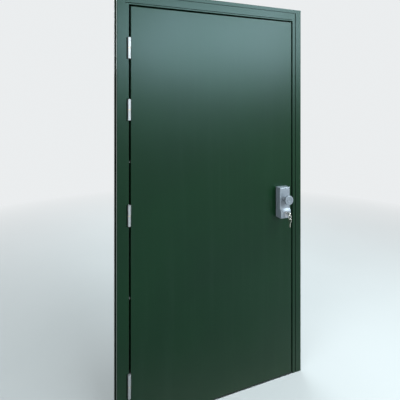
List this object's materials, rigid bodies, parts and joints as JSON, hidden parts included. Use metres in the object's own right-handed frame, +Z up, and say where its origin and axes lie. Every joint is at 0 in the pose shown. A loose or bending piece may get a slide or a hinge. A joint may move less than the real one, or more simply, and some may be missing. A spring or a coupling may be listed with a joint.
{
  "type": "fire exit door",
  "caption": "Outward-opening flush steel fire exit door in its folded frame, with outside access knob and key, silver hinges, and a panic push bar that draws upright shoots.",
  "frame": {"origin": "middle of the frame's foot, half way through its depth, on the floor", "axes": "+X from the hinges to the lock seen from outside, +Y from outside to inside, +Z up"},
  "size_m": [1.048, 0.2616, 2.083],
  "materials": {
    "green_frame": "satin",
    "green_leaf": "satin",
    "sill_steel": "satin",
    "galvanised_steel": "satin",
    "paper_honeycomb": "matte",
    "seal_rubber": "matte",
    "hinge_steel": "satin",
    "washer_brass": "satin",
    "screw_steel": "satin",
    "keeper_steel": "satin",
    "access_paint": "satin",
    "cylinder_nickel": "satin",
    "key_nickel": "polished",
    "mechanism_steel": "satin",
    "device_paint": "satin",
    "bar_steel": "satin"
  },
  "bodies": {
    "frame": {"hinge_jamb": "green_frame", "lock_jamb": "green_frame", "frame_head": "green_frame", "threshold": "sill_steel", "frame_seal": "seal_rubber", "top_keeper": "keeper_steel", "bottom_keeper": "keeper_steel", "keeper_screws": "screw_steel", "hinge_1_frame_leaf": "hinge_steel", "hinge_2_frame_leaf": "hinge_steel", "hinge_3_frame_leaf": "hinge_steel", "hinge_4_frame_leaf": "hinge_steel", "hinge_pins": "hinge_steel", "hinge_washers": "washer_brass"},
    "leaf": {"leaf_outer_skin": "green_leaf", "leaf_inner_skin": "green_leaf", "leaf_core": "paper_honeycomb", "hinge_stile": "galvanised_steel", "lock_stile": "galvanised_steel", "bottom_rail": "galvanised_steel", "top_rail": "galvanised_steel", "lock_reinforcement": "galvanised_steel", "idle_reinforcement": "galvanised_steel", "hinge_backing_plates": "galvanised_steel", "hinge_1_door_leaf": "hinge_steel", "hinge_2_door_leaf": "hinge_steel", "hinge_3_door_leaf": "hinge_steel", "hinge_4_door_leaf": "hinge_steel", "door_hinge_screws": "screw_steel", "dog_bolts": "hinge_steel", "access_housing": "access_paint", "access_fixing_bolts": "screw_steel", "lock_cylinder": "cylinder_nickel", "cylinder_screw": "screw_steel", "active_chassis": "mechanism_steel", "active_cover": "device_paint", "idle_chassis": "mechanism_steel", "idle_cover": "device_paint", "chassis_screws": "screw_steel", "arm_pivot_pins": "screw_steel", "shoot_guides": "device_paint", "guide_screws": "screw_steel"},
    "push_bar": {"push_bar_tube": "bar_steel", "active_arm": "device_paint", "idle_arm": "device_paint"},
    "rocker": {"rocker": "mechanism_steel"},
    "top_shoot": {"top_shoot": "bar_steel"},
    "bottom_shoot": {"bottom_shoot": "bar_steel"},
    "access_knob": {"access_knob": "access_paint", "access_spindle": "mechanism_steel"},
    "cylinder_plug": {"cylinder_plug": "cylinder_nickel", "door_key": "key_nickel", "cylinder_cam": "cylinder_nickel"},
    "key_ring": {"key_ring": "key_nickel"},
    "spare_key": {"spare_key": "key_nickel"},
    "hold_back": {"hold_back_turn": "device_paint"}
  },
  "joints": [
    {"name": "door_swing", "type": "hinge", "parent": "frame", "child": "leaf", "pos_m": [-0.466, -0.049, 0], "axis": [0, 0, -1], "range_deg": [0, 135]},
    {"name": "push_bar_press", "type": "hinge", "parent": "leaf", "child": "push_bar", "pos_m": [0, 0.038, 1.058], "axis": [1, 0, 0], "range_deg": [0, 25]},
    {"name": "rocker_turn", "type": "hinge", "parent": "leaf", "child": "rocker", "pos_m": [0.387, 0, 1.018], "axis": [0, 1, 0], "range_deg": [0, 45.01]},
    {"name": "top_shoot_slide", "type": "slide", "parent": "leaf", "child": "top_shoot", "axis": [0, 0, 1], "range_m": [0, 0.01264]},
    {"name": "bottom_shoot_slide", "type": "slide", "parent": "leaf", "child": "bottom_shoot", "axis": [0, 0, -1], "range_m": [0, 0.01264]},
    {"name": "knob_turn", "type": "hinge", "parent": "leaf", "child": "access_knob", "pos_m": [0.387, -0.085, 1.018], "axis": [0, 1, 0], "range_deg": [-60, 60], "stiffness_Nm_per_rad": 0.3},
    {"name": "key_turn", "type": "hinge", "parent": "leaf", "child": "cylinder_plug", "pos_m": [0.384, -0.096, 0.943], "axis": [0, 1, 0], "range_deg": [0, 90]},
    {"name": "key_ring_swing", "type": "hinge", "parent": "cylinder_plug", "child": "key_ring", "pos_m": [0.384, -0.1315, 0.943], "axis": [1, 0, 0], "range_deg": [-25, 15]},
    {"name": "spare_key_swing", "type": "hinge", "parent": "key_ring", "child": "spare_key", "pos_m": [0.384, -0.1315, 0.919], "axis": [1, 0, 0], "range_deg": [-25, 25]},
    {"name": "hold_back_turn", "type": "hinge", "parent": "leaf", "child": "hold_back", "pos_m": [0.387, 0.06, 0.952], "axis": [0, 1, 0], "range_deg": [0, 90]}
  ],
  "couplings": [
    {"joint": "rocker_turn", "follows": "push_bar_press", "ratio": 1.8},
    {"joint": "top_shoot_slide", "follows": "push_bar_press", "m_per_rad": 0.028962},
    {"joint": "bottom_shoot_slide", "follows": "push_bar_press", "m_per_rad": 0.028962}
  ]
}
